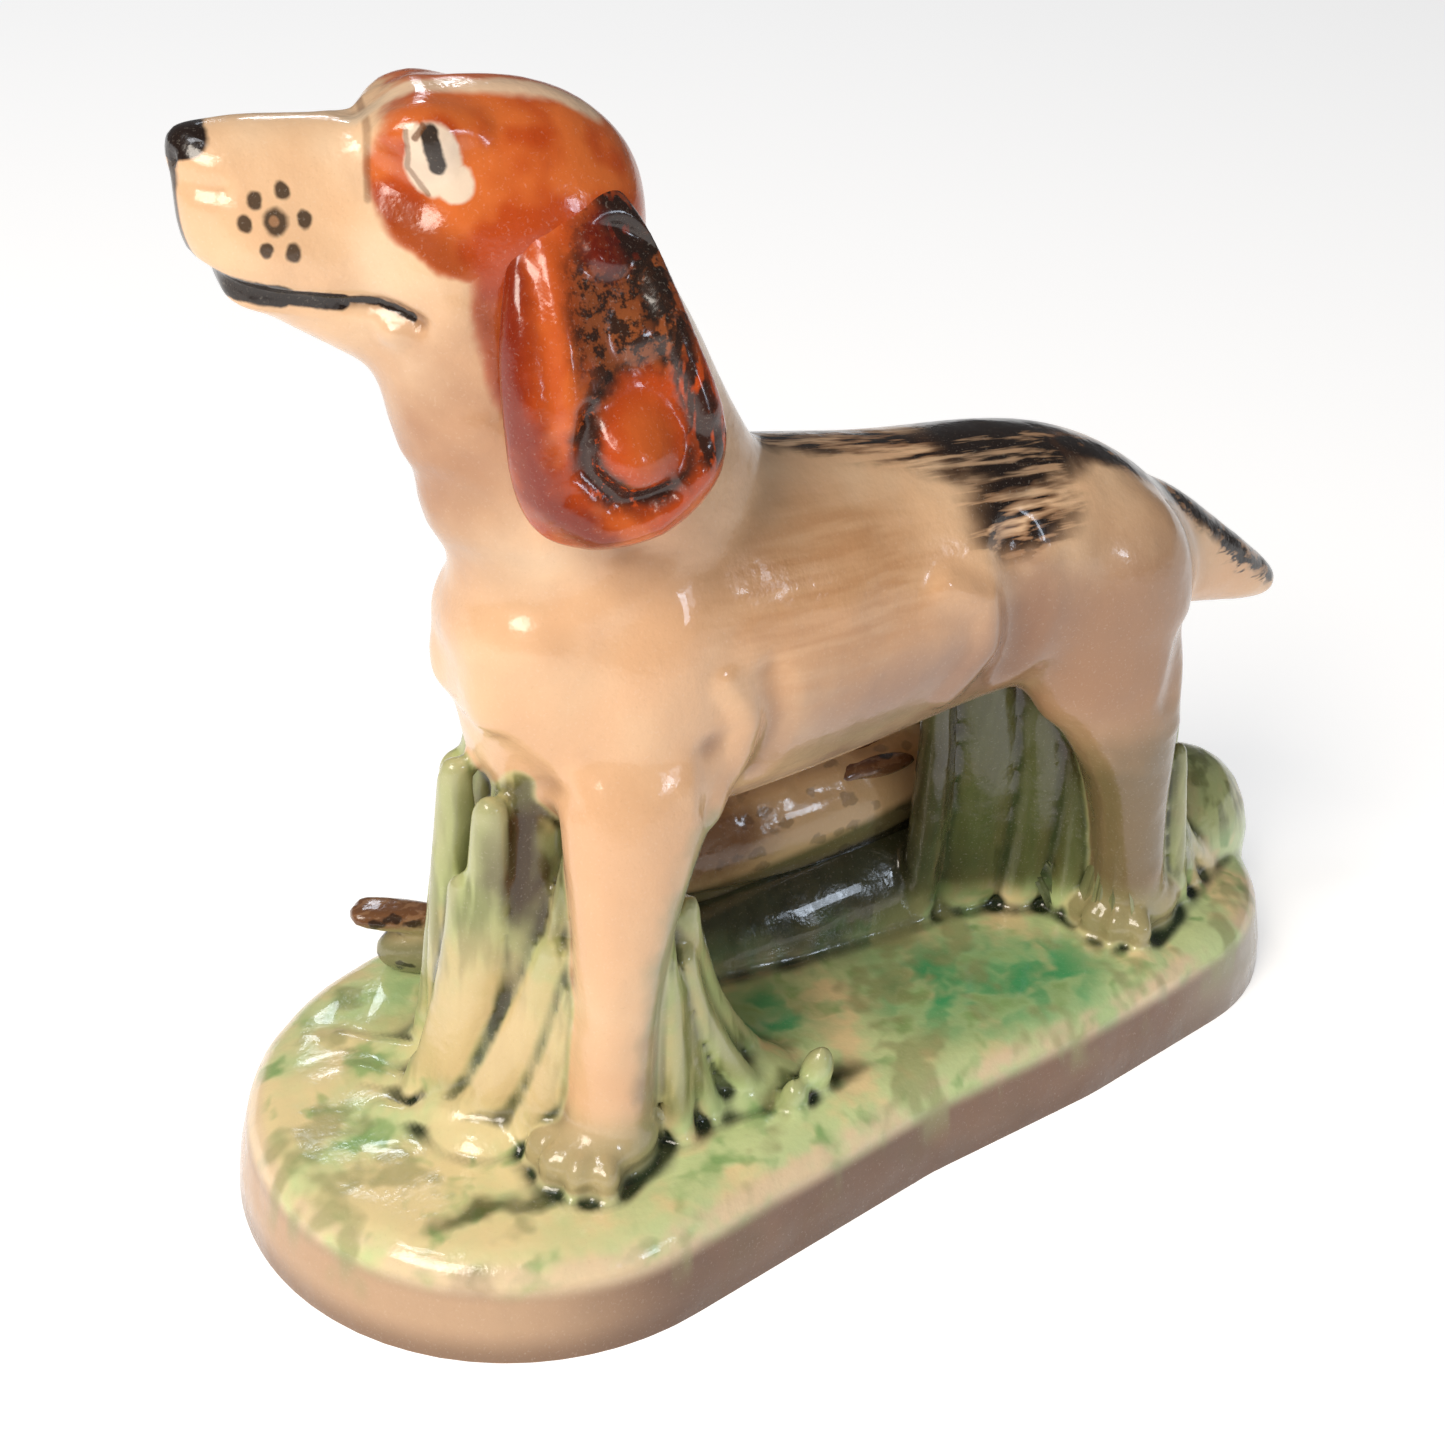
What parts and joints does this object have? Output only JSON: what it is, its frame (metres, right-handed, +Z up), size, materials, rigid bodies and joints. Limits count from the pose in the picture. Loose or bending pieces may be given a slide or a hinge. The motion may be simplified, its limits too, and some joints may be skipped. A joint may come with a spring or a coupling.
{
  "type": "ceramic dog figurine",
  "caption": "Hand-painted glazed ceramic setter standing on a hollow grassy oval plinth, its head turned, with reeds between its legs and a game bird lying on the far bank.",
  "frame": {"origin": "on the resting plane, under the middle of the plinth's length", "axes": "+Z up; the dog faces -X and its display side, its left, faces -Y"},
  "size_m": [0.134, 0.061, 0.1161],
  "materials": {
    "cream_glaze": "gloss cream glaze, airbrushed tan, hand-painted details",
    "russet_glaze": "gloss orange-red underglaze with dark brown sponging",
    "green_glaze": "gloss green washes pooled over cream",
    "tan_glaze": "gloss tan glaze with brown brush strokes",
    "umber_glaze": "gloss brown glaze with dark spots",
    "bisque": "unglazed, slightly rough fired clay"
  },
  "bodies": {
    "root": {"plinth_shell": "green_glaze", "plinth_floor": "bisque", "torso": "cream_glaze", "head": "cream_glaze", "ear_left": "russet_glaze", "ear_right": "russet_glaze", "tail": "tan_glaze", "foreleg_left": "cream_glaze", "foreleg_right": "cream_glaze", "hindleg_left": "cream_glaze", "hindleg_right": "cream_glaze", "grass_chest": "green_glaze", "grass_foreleg_left": "green_glaze", "grass_foreleg_right": "green_glaze", "grass_flank": "green_glaze", "grass_hind_right": "green_glaze", "grass_tail": "green_glaze", "grass_bud": "green_glaze", "bird_body": "tan_glaze", "bird_wing": "umber_glaze", "bird_tail": "umber_glaze"}
  },
  "joints": []
}
